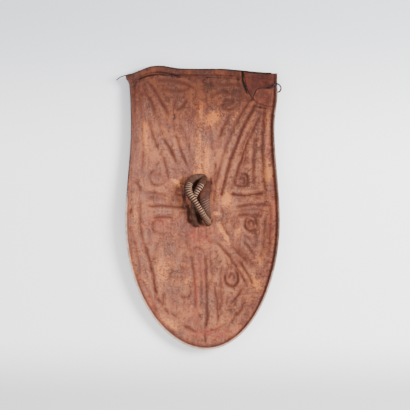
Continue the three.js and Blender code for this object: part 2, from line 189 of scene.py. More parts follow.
# %% The lines and rings
FAN_RIGHT = [
    (91, 299, 53, 218, -2, 1.0), (151, 340, 36, 11, -22, 0.8), (172, 331, 60, 27, -14, 1.35),
    (188, 296, 99, 64, -8, 1.15), (172, 227, 166, 64, -5, 0.9), (44, 150, 40, 60, -2, 0.6),
    (160, 262, 118, 150, -4, 0.5), (122, 296, 84, 214, -3, 0.5), (66, 92, 52, 36, 0, 0.5),
    (30, 92, 24, 20, 1, 0.6), (146, 196, 130, 118, -2, 0.5),
]
FAN_LEFT = [
    (-172, 400, -106, 290, 3, 1.2), (-85, 237, -44, 124, -3, 0.9), (-185, 365, -149, 296, 6, 1.0),
    (-125, 224, -80, 136, 2, 1.1), (-171, 281, -138, 183, -4, 0.7), (-130, 168, -107, 80, 4, 0.8),
    (-100, 290, -85, 237, 0, 0.45), (-149, 296, -125, 224, 2, 0.4), (-204, 330, -180, 268, 4, 0.5),
    (-66, 262, -30, 150, 0, 0.35),
]
BORDER_LINES = [
    (201, 318, 201, 49, -9, 1.0), (198, -27, 182, -171, 7, 0.8), (138, -303, 94, -359, 2, 0.7),
    (82, -368, 19, -397, 4, 0.6), (-201, 356, -191, 111, 8, 0.6), (-214, 83, -191, 39, 4, 0.8),
    (-194, 24, -185, -118, -8, 0.8), (-185, -118, -147, -287, 6, 1.2), (-16, -397, -66, -375, 2, 0.7),
    (-78, -354, -103, -334, 2, 0.7), (-147, -287, -106, -348, 3, 0.9), (-220, 2, -232, -24, 2, 1.2),
    (9, -399, 10, -436, 0, 0.7), (186, 300, 176, 256, 0, 0.6), (214, 20, 212, -150, 4, 0.6),
    (-224, -71, -198, -222, 6, 0.5), (-198, -222, -144, -343, 6, 0.5), (172, -60, 170, -112, 0, 0.5),
]
BARS = [
    (85, 44, 201, 49, -10, 1.35), (100, -2, 207, 9, 3, 0.9), (107, -30, 191, -30, 5, 0.9),
    (-185, 42, -103, 33, 6, 0.6), (-179, 3, -50, -3, 2, 1.0), (-163, -36, -91, -38, 5, 1.0),
    (-157, -83, -100, -102, 5, 0.5), (-176, 30, -104, 20, 3, 0.4), (116, 32, 190, 30, 2, 0.5),
    (104, -14, 196, -8, 2, 0.4),
]
HEAD_LINES = [
    (-151, 403, -22, 378, 12, 1.2), (-132, 381, -34, 386, -13, 0.9), (44, 390, 129, 387, 5, 1.0),
    (19, 350, 103, 356, 14, 0.9), (-16, 353, 19, 353, -9, 0.8), (103, 356, 135, 365, -5, 0.7),
    (103, 347, 132, 353, -9, 0.8), (60, 325, 110, 325, -14, 1.1), (60, 325, 103, 337, 13, 0.9),
    (76, 326, 100, 330, 3, 0.9), (-82, 353, -89, 313, -3, 0.9), (-47, 353, -85, 308, 7, 0.9),
    (-22, 378, -22, 352, 4, 0.6), (60, 368, 126, 366, 3, 0.5), (-232, 394, -192, 409, 3, 0.9),
]
RAYS = [
    (60, 2, 72, -33, 1, 0.6), (60, -45, 88, -96, -2, 0.7), (129, -105, 166, -158, 2, 0.8),
    (94, -124, 138, -174, 2, 0.9), (141, -158, 169, -190, -1, 0.6), (44, -111, 141, -249, 7, 1.0),
    (113, -171, 163, -252, 4, 1.0), (75, -158, 85, -199, 1, 0.6), (78, -199, 113, -196, 5, 0.7),
    (129, -256, 85, -318, 3, 1.0), (85, -287, 75, -318, -2, 0.5), (-113, -268, -119, -321, -10, 0.8),
    (-94, -171, -107, -243, 1, 0.5), (134, -306, 104, -352, 3, 0.8), (110, -128, 150, -190, 2, 0.5),
    (-66, -110, -88, -160, 2, 0.4), (-44, -100, -60, -170, 2, 0.4), (112, -290, 92, -330, 0, 0.5),
    (-150, -122, -158, -180, 3, 0.5),
]
STEMS = [
    (-38, -152, 9, -158, 26, 0.6), (-38, -152, -22, -328, 5, 0.7), (9, -158, 14, -387, 3, 0.9),
    (38, -252, 49, -375, 5, 0.8), (34, -218, 19, -262, 0, 0.6), (60, -190, 63, -309, -2, 0.5),
    (16, 340, 13, 290, 0, 0.5), (6, -100, 19, -92, 0, 0.7), (-8, -160, -4, -330, 2, 0.4),
    (26, -160, 30, -250, 2, 0.4), (-20, 260, -14, 180, 0, 0.35), (24, 262, 30, 190, 0, 0.35),
    (50, -250, 56, -340, 2, 0.4), (0, 240, -2, 150, 0, 0.3),
]
# Rings: centre, radius, from, to, depth, how tall against wide, how square.
RINGS = [
    (-143, 94, 25, 95, 345, 0.7, 1.0, 2), (-143, 96, 9, 20, 170, 0.5, 1.0, 2),
    (125, 86, 20, -200, 130, 1.1, 1.0, 4), (127, 84, 9, -90, 160, 1.0, 1.0, 3),
    (-141, -60, 18, 20, 250, 0.6, 1.1, 2), (156, -54, 18, -235, 110, 1.1, 1.35, 2),
    (155, -54, 8, -60, 200, 1.0, 1.2, 2), (94, -227, 21, -215, 75, 1.2, 1.35, 2),
    (94, -226, 9, -30, 220, 1.0, 1.3, 2), (-56, -274, 18, 150, 400, 0.5, 1.0, 2),
    (26, -108, 5, 90, 400, 0.6, 1.0, 2),
]


def line_samples(x0, y0, x1, y1, bow, deep):
    length = math.hypot(x1 - x0, y1 - y0)
    t = np.linspace(0, 1, max(int(length / 1.5), 4))
    side = 4 * bow * t * (1 - t)
    x = x0 + (x1 - x0) * t - side * (y1 - y0) / length
    y = y0 + (y1 - y0) * t + side * (x1 - x0) / length
    ends = np.minimum(t, 1 - t) * length
    return np.stack([x, y, deep * (0.25 + 0.75 * smooth(ends / 14))], 1)


def ring_samples(x, y, radius, start, stop, deep, tall, square):
    turn = np.radians(np.linspace(start, stop, 60))
    share = np.linspace(0, 1, 60)
    fade = 0.4 + 0.6 * smooth(np.minimum(share, 1 - share) / 0.15)
    c, s = np.cos(turn), np.sin(turn)
    reach = radius / (np.abs(c) ** square + np.abs(s) ** square) ** (1 / square)
    return np.stack([x + reach * c, y + reach * tall * s, deep * fade], 1)


all_lines = FAN_RIGHT + FAN_LEFT + BORDER_LINES + BARS + HEAD_LINES + RAYS + STEMS
pressed = np.concatenate([line_samples(*line) for line in all_lines]
                         + [ring_samples(*ring) for ring in RINGS])
pressed_tree = kdtree.KDTree(len(pressed))
for i, (x, y, deep) in enumerate(pressed):
    pressed_tree.insert((x, y, 0), i)
pressed_tree.balance()
print(len(all_lines), "lines and", len(RINGS), "rings,", len(pressed), "samples")


# A hand does not draw straight: this shifts a place a little, slowly and quickly.
def wander(a, b, slow, quick):
    wide = noise.noise(Vector((a / 24, b / 24, slow))) * 2.6
    return wide + noise.noise(Vector((a / 8, b / 8, quick))) * 1.1


# How far each place is from the nearest pressed line, and how deep that line is there.
def nearest_line(x, y):
    away, deep = np.empty(x.size), np.empty(x.size)
    for i, (a, b) in enumerate(zip(x.ravel(), y.ravel())):
        _, index, away[i] = pressed_tree.find((a + wander(a, b, 3, 5), b + wander(a, b, 9, 7), 0))
        deep[i] = pressed[index][2]
    return away.reshape(x.shape), deep.reshape(x.shape)

# %% [markdown]
# ## The hide
# One grid covers the sheet: narrow columns follow the edge on both sides and rows join them
# across. The grip face and the outer face share the grid, so the sheet closes along its rim by
# plain strips. Slits are made by leaving cells out, and the cells around the slits and the tear
# are pulled onto the outline of each; the tear keeps its cells.

# %% Grid of the hide
def spread(values, step):
    out = [values[0]]
    for a, b in zip(values, values[1:]):
        parts = max(round((b - a) / step), 1)
        out += [a + (b - a) * (i + 1) / parts for i in range(parts)]
    return np.array(out)


# Lengths of a side from the top corner to the belly and from there to the tip.
UPPER_RUN, LOWER_RUN = 463, 520
steps_in = np.array([0, 1.6, 3.2, 4.8, 6.4, 8, 9.6, 11.2, 13, 15, 17.5, 20.5, 24, 28, 32, 36.5, 41, BORDER])
hem_rows = [0, 1.2, 2.4, 4, 6, 8.5, 11, 13.5, 16, 17.4, 18.6, 19.8, 21, 22.5, 24.5, 26.5, 28, 29.5, 31]
# Shares across the field: the columns stand closer where the tear runs.
shares = np.concatenate([np.arange(0.0098, 0.8, 0.0098), np.arange(0.8, 0.9, 0.0048),
                         np.arange(0.9, 0.996, 0.0098)])
rows_q = np.concatenate([np.array(hem_rows) / UPPER_RUN,
                         spread([33 / UPPER_RUN, 1.0], 3.1 / UPPER_RUN),
                         spread([1.0, 2.0], 3.5 / LOWER_RUN)[1:]])


def hide_grid():
    q = rows_q[:, None]
    left = [border_point(-1, rows_q, d) for d in steps_in]
    right = [border_point(1, rows_q, d) for d in steps_in[::-1]]
    (lx, ly), (rx, ry) = left[-1], right[0]
    fx = lx[:, None] + (rx - lx)[:, None] * shares
    fy = ly[:, None] + (ry - ly)[:, None] * shares
    x = np.concatenate([np.stack([p[0] for p in left], 1), fx, np.stack([p[0] for p in right], 1)], 1)
    y = np.concatenate([np.stack([p[1] for p in left], 1), fy, np.stack([p[1] for p in right], 1)], 1)
    y = y + (top_y(x) - y[0]) * (1 - smooth(q / 0.35))
    d = np.concatenate([steps_in, np.full(len(shares), BORDER), steps_in[::-1]])
    return x, y, np.broadcast_to(d, x.shape), np.broadcast_to(q, x.shape)


X, Y, D, Q = hide_grid()
T = np.maximum(0, top_y(X) - Y)
print("hide grid", X.shape, "cells", X.size, "->", 4 * X.size, "triangles in both faces")

# %% Openings through the sheet
def oval(x, y, half_long, half_wide, lean):
    turn = np.radians(np.arange(0, 360, 15))
    a, b = half_wide * np.cos(turn), half_long * np.sin(turn)
    c, s = math.cos(lean), math.sin(lean)
    return np.stack([x + a * c - b * s, y + a * s + b * c], 1)


TEAR = np.array([[127, 470], [132.5, 470], [133.5, 425], [134, 403], [140, 386], [146, 366],
                 [143, 364], [134, 385], [128, 402], [126.5, 425]], float)
SLITS = [oval(-90, 285, 6.5, 2.5, -0.15), oval(-77.5, -209, 5.5, 2.4, 0.55)]


def inside(outline, x, y):
    hit = np.zeros(x.shape, bool)
    for (ax, ay), (bx, by) in zip(outline, np.roll(outline, -1, 0)):
        crosses = (ay > y) != (by > y)
        at = ax + (y - ay) * (bx - ax) / (by - ay if by != ay else 1e-9)
        hit ^= crosses & (x < at)
    return hit


def nearest_on(outline, x, y):
    best, where = 1e9, (x, y)
    for (ax, ay), (bx, by) in zip(outline, np.roll(outline, -1, 0)):
        span = (bx - ax) ** 2 + (by - ay) ** 2
        t = min(max(((x - ax) * (bx - ax) + (y - ay) * (by - ay)) / span, 0), 1)
        px, py = ax + t * (bx - ax), ay + t * (by - ay)
        away = (px - x) ** 2 + (py - y) ** 2
        if away < best:
            best, where = away, (px, py)
    return where


# Takes the cells inside the outline out and pulls the corners left around them onto it.
def cut(x, y, kept, outline, keep_inside=False):
    cx = (x[:-1, :-1] + x[1:, :-1] + x[:-1, 1:] + x[1:, 1:]) / 4
    cy = (y[:-1, :-1] + y[1:, :-1] + y[:-1, 1:] + y[1:, 1:]) / 4
    within = inside(outline, cx, cy)
    kept &= within if keep_inside else ~within
    used = [np.zeros(x.shape, bool), np.zeros(x.shape, bool)]
    near = ~within if keep_inside else within
    for flags, cells in zip(used, (kept, near)):
        for r in (0, 1):
            for c in (0, 1):
                flags[r:r + cells.shape[0], c:c + cells.shape[1]] |= cells
    for r, c in np.argwhere(used[0] & used[1]):
        x[r, c], y[r, c] = nearest_on(outline, x[r, c], y[r, c])


kept = np.ones((X.shape[0] - 1, X.shape[1] - 1), bool)
for outline in SLITS:
    cut(X, Y, kept, outline)
in_tear = np.ones_like(kept)
cut(X, Y, in_tear, TEAR, keep_inside=True)
deep_places = np.zeros(X.shape, bool)
deep_places[1:-1, 1:-1] = in_tear[:-1, :-1] & in_tear[1:, :-1] & in_tear[:-1, 1:] & in_tear[1:, 1:]
deep_places |= inside(TEAR, X, Y)
print("cells left out for the slits:", int((~kept).sum()), "and in the tear:", int(in_tear.sum()))

# %% [markdown]
# ## Relief
# Where the tool went down the hide is thinner, and the leather beside it is pushed up into soft
# shoulders. Dried hide also buckles gently, and the thongs of the grip pull it into seats on
# the outer face. The outer face shows the pressed lines as faint ridges, worn off where the
# shield has rubbed.

# %% Relief of both faces
def rough(x, y, size, seed, octaves=3):
    return np.array([noise.fractal(Vector((a / size, b / size, seed)), 0.6, 2.0, octaves)
                     for a, b in zip(x.ravel(), y.ravel())]).reshape(x.shape)


LACES = [(9, 98), (22, -57), (-20, -56), (20, 81), (24, -36)]


def bar_distance(x, y, a, b):
    (ax, ay), (bx, by) = a, b
    span = (bx - ax) ** 2 + (by - ay) ** 2 + 1e-9
    t = np.clip(((x - ax) * (bx - ax) + (y - ay) * (by - ay)) / span, 0, 1)
    return np.hypot(x - ax - t * (bx - ax), y - ay - t * (by - ay))


away, deep = nearest_line(X, Y)
buckle = rough(X, Y, 85, 1.5) * 1.7 + rough(X, Y, 32, 4.5) * 0.9
fibre = rough(X, Y * 0.22, 8, 11.5) * 0.5 * hump(X, 5, 110)
fine = rough(X, Y, 8, 7.5, 3) * 0.42 + fibre
reach = 1.4 + 1.7 * deep
groove = 2.5 * np.exp(-((away / reach) ** 2)) + 1.5 * np.exp(-away / 7)
channel = -deep * groove + 0.9 * deep * hump(away, 12, 5)
quiet = smooth(D / 8) * smooth((T - HEM - 3) / 6)
inner = border_relief(D, Q) + hem_relief(T, X) + (channel + buckle) * (0.25 + 0.75 * quiet) + fine

# The left border is rolled back below the waist, and one spot has puckered like a scar.
rolled = smooth((X + 214) / -8) * smooth((Y + 104) / 24) * smooth((44 - Y) / 14)
inner += 2.6 * rolled * (X < 0)
scar_x, scar_y = X + 166, Y + 64
scar = np.hypot(scar_x, scar_y * 0.8)
folds = np.cos(7 * np.arctan2(scar_y, scar_x) + 1.5 * rough(X, Y, 20, 2.2))
inner += -1.3 * np.maximum(folds, 0) * hump(scar, 10, 7) - 1.2 * hump(scar, 0, 4)

# The tear leaves only a thin skin of hide at its bottom; the torn lips stand up a little.
torn = np.where(deep_places, 1.0, 0.0)
lips = hump(np.hypot(np.maximum(np.abs(X - 130) - 4, 0), np.maximum(400 - Y, 0)), 0, 6) * (X < 128)
seat = np.minimum.reduce([bar_distance(X, Y, LACES[1], LACES[2]), *[
    bar_distance(X, Y, LACES[i], LACES[i]) - 1.5 for i in (0, 3, 4)]])
worn = smooth((dish(X, Y) - 0.3) / 3)
ridges = -1.5 * deep * np.exp(-((away / 5) ** 2)) * worn * smooth((D - 20) / 20)
seats = 2.9 * (1 - smooth((seat - 6) / 3))
outer = under_relief(D, T, Q) + ridges + seats + np.maximum(buckle * 0.6, 0) * worn
base = dish(X, Y)
Z_out = np.maximum(base + outer, 0.0)
grip_face = base + HIDE + np.maximum(inner, -DEEPEST) + 1.4 * lips
Z_in = np.where(torn > 0, Z_out + TEAR_SKIN, grip_face)
Z_out = np.minimum(Z_out, Z_in - THINNEST)
print("deepest line", round(float(channel.min()), 2), "mm; hide between",
      round(float((Z_in - Z_out).min()), 2), "and", round(float((Z_in - Z_out).max()), 2), "mm thick")

# %% [markdown]
# ## From grid to mesh
# A helper turns two layers of grid points into one closed mesh: cells on both faces, and a
# strip wherever a kept cell has no neighbour. The last row of the hide folds onto itself at
# the tip, and merging close points sews that seam up.

# %% Grid to closed mesh
def metres(points):
    shift = np.array(to_frame)
    return [tuple(p) for p in (np.asarray(points) + shift) / 1000]


def store(mesh, name, *parts):
    mark = mesh.attributes.new(name, "FLOAT", "POINT")
    mark.data.foreach_set("value", np.concatenate([np.ravel(v) for v in parts]).astype(np.float32))


def two_faced(name, x, y, low, high, kept, marks=None, merge=1e-5):
    rows, columns = x.shape
    lower = np.stack([x, y, low], -1).reshape(-1, 3)
    upper = np.stack([x, y, high], -1).reshape(-1, 3)
    half = rows * columns
    faces = []
    padded = np.pad(kept, 1)
    for r, c in np.argwhere(kept):
        a = r * columns + c
        b, d, e = a + 1, a + columns, a + columns + 1
        faces.append((half + a, half + d, half + e, half + b))
        faces.append((a, b, e, d))
        for gone, p, q in ((padded[r, c + 1], a, b), (padded[r + 2, c + 1], e, d),
                           (padded[r + 1, c], d, a), (padded[r + 1, c + 2], b, e)):
            if not gone:
                faces.append((q, p, half + p, half + q))
    mesh = bpy.data.meshes.new(name)
    mesh.from_pydata(metres(np.concatenate([lower, upper])), [], faces)
    for key, values in (marks or {}).items():
        store(mesh, key, *values)
    return finished(name, mesh, merge)


def finished(name, mesh, merge=1e-5):
    work = bmesh.new()
    work.from_mesh(mesh)
    bmesh.ops.remove_doubles(work, verts=work.verts, dist=merge)
    loose = [v for v in work.verts if not v.link_faces]
    bmesh.ops.delete(work, geom=loose, context="VERTS")
    bmesh.ops.recalc_face_normals(work, faces=work.faces)
    for face in work.faces:
        face.smooth = True
    work.to_mesh(mesh)
    open_edges = sum(1 for e in work.edges if len(e.link_faces) != 2)
    work.free()
    piece = bpy.data.objects.new(name, mesh)
    bpy.context.scene.collection.objects.link(piece)
    print(name, len(mesh.polygons), "faces,", open_edges, "open edges")
    return piece


# %% [markdown]
# ## Where the hide has changed colour
# A hide this old is tinted by its use: hands and shoulders rub it ochre, grease and soot leave
# grey-brown films, and some areas stay red. These areas are given as soft ovals, each
# with its middle, half length, half width, lean and strength, and noise breaks up their edges.

# %% Tint areas
COOL = [
    (94, 378, 62, 22, 0, 0.8), (22, 381, 25, 19, 90, 0.9), (85, 328, 28, 16, 10, 0.9),
    (-169, 325, 44, 10, -62, 0.8), (-135, 368, 38, 10, -40, 0.5), (128, 268, 56, 12, 62, 0.8),
    (150, 243, 60, 8, 66, 0.7), (176, 212, 88, 12, 88, 0.9), (138, 80, 44, 38, 0, 0.7),
    (82, 256, 22, 19, 60, 0.6), (-200, 74, 28, 6, -80, 1.0), (-107, -127, 41, 19, 80, 0.6),
    (-100, -212, 25, 22, 0, 0.9), (10, -359, 75, 12, 90, 0.8), (53, -180, 31, 16, 80, 0.7),
    (100, -337, 44, 38, 60, 0.6), (-122, 209, 31, 19, -60, 0.5), (-69, 312, 28, 22, 0, 0.5),
    (58, -30, 28, 25, 0, 0.7), (176, -77, 50, 16, 90, 0.6), (-57, -265, 40, 25, -30, 0.6),
    (-138, 178, 28, 19, 90, 0.5), (-150, -170, 30, 14, 80, 0.5), (40, -300, 60, 18, 90, 0.5),
]
OCHRE = [
    (-182, 230, 50, 8, 92, 0.9), (-157, 281, 38, 8, -70, 0.4), (-3, 312, 38, 8, 90, 0.8),
    (34, 287, 28, 18, 50, 1.0), (-8, 180, 94, 17, 92, 0.6), (16, 149, 50, 10, 90, 0.8),
    (-82, 80, 20, 7, -35, 1.2), (-9, 111, 19, 14, 90, 1.0), (78, 24, 28, 20, 70, 0.9),
    (50, 45, 31, 10, 80, 0.5), (207, 111, 40, 8, 92, 1.0), (207, 268, 50, 9, 90, 0.5),
    (72, -86, 38, 8, -62, 1.1), (116, -80, 25, 9, 80, 0.6), (169, -240, 28, 16, -60, 0.9),
    (188, -171, 25, 12, 80, 0.6), (-223, -177, 38, 9, -75, 0.8), (-129, -215, 56, 26, 85, 0.6),
    (-103, -368, 38, 12, -38, 0.7), (-210, -24, 63, 12, 90, 0.5), (-50, -243, 31, 14, 60, 0.5),
    (108, 296, 28, 10, 50, 0.5), (-175, -250, 30, 8, -62, 0.5), (50, -22, 9, 7, 0, 1.0),
]
RED = [
    (-194, 375, 38, 30, 0, 0.5), (-6, -96, 46, 42, 0, 0.8), (-19, -259, 125, 9, 90, 0.9),
    (-132, -45, 56, 25, 0, 0.7), (25, -400, 94, 22, 0, 0.7), (226, -24, 125, 9, 88, 0.8),
    (-38, 227, 50, 30, 90, 0.4), (-157, -315, 56, 16, -52, 0.6), (212, 190, 90, 7, 90, 0.7),
    (-171, 120, 20, 6, 90, 0.6), (-100, 60, 30, 18, 0, 0.4), (-196, 180, 80, 7, 92, 0.5),
    (0, -190, 70, 9, 90, 0.7), (-40, -330, 60, 12, 90, 0.5), (-130, 330, 40, 16, -55, 0.4),
]
# Painted shadow as dark films: along the grip and in the gaps under it, beside the tear, in the ear and
# under the patches.
PAINTED_SHADOW_OVALS = [
    (-56, 40, 46, 7, 84, 1.1), (-44, -16, 48, 7, 104, 1.1), (-26, 64, 24, 15, 55, 1.3),
    (-12, -32, 24, 14, 108, 1.3), (28, 82, 13, 5, 90, 1.0), (34, -44, 18, 4, 70, 0.9),
    (-20, -62, 14, 6, 0, 1.0), (116, 403, 22, 8, 90, 0.8), (-211, 392, 22, 5, 30, 0.9),
    (160, 346, 12, 9, 60, 1.0), (190, 318, 34, 5, -8, 0.8), (-66, 62, 36, 6, 95, 0.6),
    (-12, 4, 46, 16, 100, 0.7), (8, 20, 50, 14, 95, 0.6),
]


def tint(areas, seed):
    total = np.zeros_like(X)
    wave, drift = rough(X, Y, 26, seed), rough(X, Y, 26, seed + 4)
    for x, y, half_long, half_wide, lean, strength in areas:
        c, s = math.cos(math.radians(lean)), math.sin(math.radians(lean))
        a, b = X - x + 7 * wave, Y - y + 7 * drift
        reach = ((a * c + b * s) / half_long) ** 2 + ((b * c - a * s) / half_wide) ** 2
        total = np.maximum(total, strength * np.exp(-reach * 0.7))
    return total


# The cut edge is pale fibre; painted shade makes it dark on the upper left and dim on the right, where the
# rim turns from the light.
rim_fibre_and_shade = np.where(X > 0, 0.35, smooth((60 - Y) / 60)) * (0.75 + 0.5 * rough(X, Y, 14, 6.0))
rim_fibre_and_shade = np.where(Y < -200, 0.85 + 0.4 * rough(X, Y, 12, 8.0), rim_fibre_and_shade)
# Painted shade in the groove inside the lip, strongest on the right where the lip's wall faces away from
# the light.
right_shade_share = smooth((330 - Y) / 60) * (0.6 + 0.4 * smooth((Y + 330) / 120))
gutter_shade_share = np.where(X > 60, right_shade_share, 0.75 * smooth((-60 - Y) / 80))
gutter_shade = hump(D, 9, 3.6) * gutter_shade_share
crackle = hump(scar, 9, 8) * smooth(folds)
nothing = np.zeros_like(X)
hide = two_faced("hide_sheet", X, Y, Z_out, Z_in, kept, {
    "pressed": (nothing, np.clip(deep * np.exp(-((away / (reach + 0.4)) ** 2)) * quiet + crackle, 0, 1.4)),
    "shade": (nothing, np.clip(deep * np.exp(-((away / 8) ** 2)) * quiet, 0, 1.4)),
    "shoulder": (nothing, deep * hump(away, 11, 5) * quiet),
    "edge": (nothing + 60, D),
    "rim_fibre_and_shade": (nothing + 0.3, np.clip(rim_fibre_and_shade, 0, 1)),
    "gutter_shade": (nothing, gutter_shade),
    "under": (nothing + 1, nothing),
    "hem": (nothing + 60, np.minimum(np.abs(T - HEM - 2 - EAR_HEM * smooth((-185 - X) / 30)), 60.0)),
    "torn": (nothing, torn),
    "cool": (nothing, tint(COOL, 3.0)),
    "ochre": (nothing, tint(OCHRE, 12.0)),
    "red": (nothing, tint(RED, 21.0)),
    "painted_shadow": (nothing, tint(PAINTED_SHADOW_OVALS, 30.0)),
    "height": (Y / 450, Y / 450),
    "sideways": (X / 240, X / 240),
})
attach(hide, "root")
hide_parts("hide_body")

# %% [markdown]
# ## Grip
# The grip is a laced thong loop that crosses itself and a broad core behind it. Both were
# wound with narrow strips of hide, so each strand gets turns of a raised strip along its length.
# A strand is a sweep: rings of points around a smooth line through a few given places, each
# with its half width and half height.

# %% Wound strands
LOOP_OVER = [
    (9, 97, 12, 8, 5), (-6, 98, 18, 9, 5), (-22, 94, 24, 10, 5), (-36, 83, 34, 11, 6), (-44, 67, 47, 12, 7),
    (-44, 51, 56, 12, 8), (-36, 34, 62, 11, 8), (-24, 18, 64, 9, 7), (-10, -4, 60, 9, 7),
    (3, -24, 52, 9, 8), (15, -43, 32, 10, 7), (22, -57, 10, 8, 5),
]
LOOP_UNDER = [
    (9, 97, 12, 8, 5), (3, 82, 33, 11, 7), (-8, 63, 50, 10, 7), (-18, 47, 53, 9, 7), (-26, 28, 50, 8, 6),
    (-28, 8, 42, 8, 7), (-28, -14, 36, 8, 7), (-25, -36, 25, 9, 7), (-20, -55, 10, 8, 5),
]
CORE = [
    (20, 82, 9.5, 8, 4), (16, 71, 20, 13, 7), (10, 50, 35, 17, 9), (7, 20, 40, 18, 10), (9, -8, 36, 17, 10),
    (17, -27, 21, 13, 7), (23, -37, 9.5, 8, 4),
]


# A place on the smooth curve from p1 to p2; p0 and p3 are the places before and after them.
def between(p0, p1, p2, p3, f):
    return 0.5 * (2 * p1 + (p2 - p0) * f + (2 * p0 - 5 * p1 + 4 * p2 - p3) * f**2
                  + (3 * p1 - p0 - 3 * p2 + p3) * f**3)


# A smooth line through the places, with the widths and heights carried along it.
def smooth_line(places, count):
    places = np.array(places, float)
    knots = np.array([2 * places[0] - places[1], *places, 2 * places[-1] - places[-2]])
    spots = np.linspace(0, len(places) - 1 - 1e-6, count)
    return np.array([between(*knots[int(t):int(t) + 4], t - int(t)) for t in spots])


def strand(name, places, pitch=7.4, rib=0.9, lean=0.0, wound=(0.0, 1.0), sides=28, step=0.9):
    line = smooth_line(places, 60)
    length = np.linalg.norm(np.diff(line[:, :3], axis=0), axis=1).sum()
    line = smooth_line(places, int(length / step))
    centre = line[:, :3]
    ahead = np.gradient(centre, axis=0)
    ahead /= np.linalg.norm(ahead, axis=1)[:, None]
    wide = np.stack([-ahead[:, 1], ahead[:, 0], np.zeros(len(line))], 1)
    wide /= np.linalg.norm(wide, axis=1)[:, None]
    tall = np.cross(wide, ahead)
    tall /= np.linalg.norm(tall, axis=1)[:, None]
    tall *= np.sign(tall[:, 2:3] + 1e-9)
    along = np.concatenate([[0], np.cumsum(np.linalg.norm(np.diff(centre, axis=0), axis=1))])
    turn = np.arange(sides) / sides * 2 * math.pi
    across = line[:, 3:4] * np.cos(turn)[None]
    phase = (along[:, None] + lean * across) / pitch + turn[None] / (2 * math.pi)
    share = (along / along[-1])[:, None]
    on = smooth((share - wound[0]) / 0.04) * smooth((wound[1] - share) / 0.04)
    strip = np.abs(np.sin(phase * math.pi))
    swell = on * rib * (strip * 2 - 1.1)
    for i in range(len(line)):
        for k in range(sides):
            p = centre[i] / 7
            swell[i, k] += 0.5 * noise.noise(Vector((p[0], p[1] + k * 0.13, p[2])))
    flat = 0.85
    cs, sn = np.cos(turn)[None], np.sin(turn)[None]
    round_w = np.sign(cs) * np.abs(cs) ** flat * (line[:, 3:4] + swell)
    round_h = np.sign(sn) * np.abs(sn) ** flat * (line[:, 4:5] + swell)
    points = centre[:, None] + wide[:, None] * round_w[..., None] + tall[:, None] * round_h[..., None]
    verts = [*points.reshape(-1, 3), centre[0], centre[-1]]
    faces = []
    for i in range(len(line) - 1):
        for k in range(sides):
            a, b = i * sides + k, i * sides + (k + 1) % sides
            faces.append((a, b, b + sides, a + sides))
    first, last = len(verts) - 2, len(verts) - 1
    for k in range(sides):
        faces.append((first, (k + 1) % sides, k))
        end = (len(line) - 1) * sides
        faces.append((last, end + k, end + (k + 1) % sides))
    mesh = bpy.data.meshes.new(name)
    mesh.from_pydata(metres(verts), [], faces)
    store(mesh, "strip", strip * on + (1 - on) * 0.7, [0.7, 0.7])
    store(mesh, "facing", np.broadcast_to(cs, phase.shape), [0, 0])
    store(mesh, "wound", np.broadcast_to(on, phase.shape), [0, 0])
    print(name, "is", round(along[-1]), "mm long with", round(along[-1] / pitch), "turns")
    return finished(name, mesh)


def block(name, outline, low, high):
    count = len(outline)
    verts = [(x, y, low) for x, y in outline] + [(x, y, high) for x, y in outline]
    faces = [tuple(range(count))[::-1], tuple(range(count, 2 * count))]
    faces += [(i, (i + 1) % count, count + (i + 1) % count, count + i) for i in range(count)]
    mesh = bpy.data.meshes.new(name)
    mesh.from_pydata(metres(verts), [], faces)
    piece = finished(name, mesh)
    soften = piece.modifiers.new("rounded", "BEVEL")
    soften.width, soften.segments = 0.0007, 2
    return piece


def stadium(a, b, radius):
    along = math.atan2(b[1] - a[1], b[0] - a[0])
    out = []
    for centre, start in ((a, along + math.pi / 2), (b, along - math.pi / 2)):
        for i in range(13):
            turn = start + math.pi * i / 12
            out.append((centre[0] + radius * math.cos(turn), centre[1] + radius * math.sin(turn)))
    return out


def join(name, pieces):
    with bpy.context.temp_override(active_object=pieces[0], selected_editable_objects=pieces,
                                   selected_objects=pieces, object=pieces[0]):
        bpy.ops.object.join()
    pieces[0].name = name
    return pieces[0]


loop_over = strand("grip_loop_over", LOOP_OVER, wound=(0.24, 0.99), lean=0.1)
loop_under = strand("grip_loop_under", LOOP_UNDER, wound=(0.2, 0.52), rib=0.6, lean=0.2)
core = strand("grip_core_bar", CORE, pitch=7.5, rib=0.5, lean=0.6, sides=36, wound=(0.45, 0.99))
strap = block("loop_strap_low", stadium(LACES[1], LACES[2], 5), 0.35, 2.5)
knobs = [block(f"grip_knob_{i}", stadium(LACES[i], LACES[i], 6.5), 0.35, 2.5) for i in (0, 3, 4)]
laces = [block(f"lace_{i}", stadium(p, p, 4.5), 0.8, 10) for i, p in enumerate(LACES)]
for piece in (loop_over, loop_under, strap, knobs[0], *laces[:3]):
    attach(piece, "root")
    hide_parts("grip_loop")
for piece in (core, *knobs[1:], *laces[3:]):
    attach(piece, "root")
    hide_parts("grip_core")

# %% [markdown]
# ## Mended corner
# The right corner tore off along a cleft and was mended with two scraps of hide sewn over it:
# a dark red one at the top and a lighter one below. Each patch is a small grid cut to the
# scrap's outline, laid on the sheet with its own wrinkles and a curled, rounded edge.

# %% Patches
PATCH_UPPER = np.array([
    (137, 428), (170, 425), (205, 421), (236, 421), (237, 400), (234, 381), (212, 378.5), (191, 380),
    (175, 376), (167, 364), (161, 350), (151, 362), (143, 384), (138, 402),
], float)
PATCH_LOWER = np.array([
    (175, 375), (191, 379), (212, 377.5), (234, 380), (234, 350), (233, 323), (220, 319), (207, 321),
    (188, 327), (173, 335), (163, 348), (168, 362),
], float)


def rounded_outline(outline, per_side=6):
    closed = np.concatenate([outline[-1:], outline, outline[:2]])
    shares = np.linspace(0, 1, per_side, endpoint=False)
    return np.array([between(*closed[i:i + 4], f) for i in range(len(outline)) for f in shares])


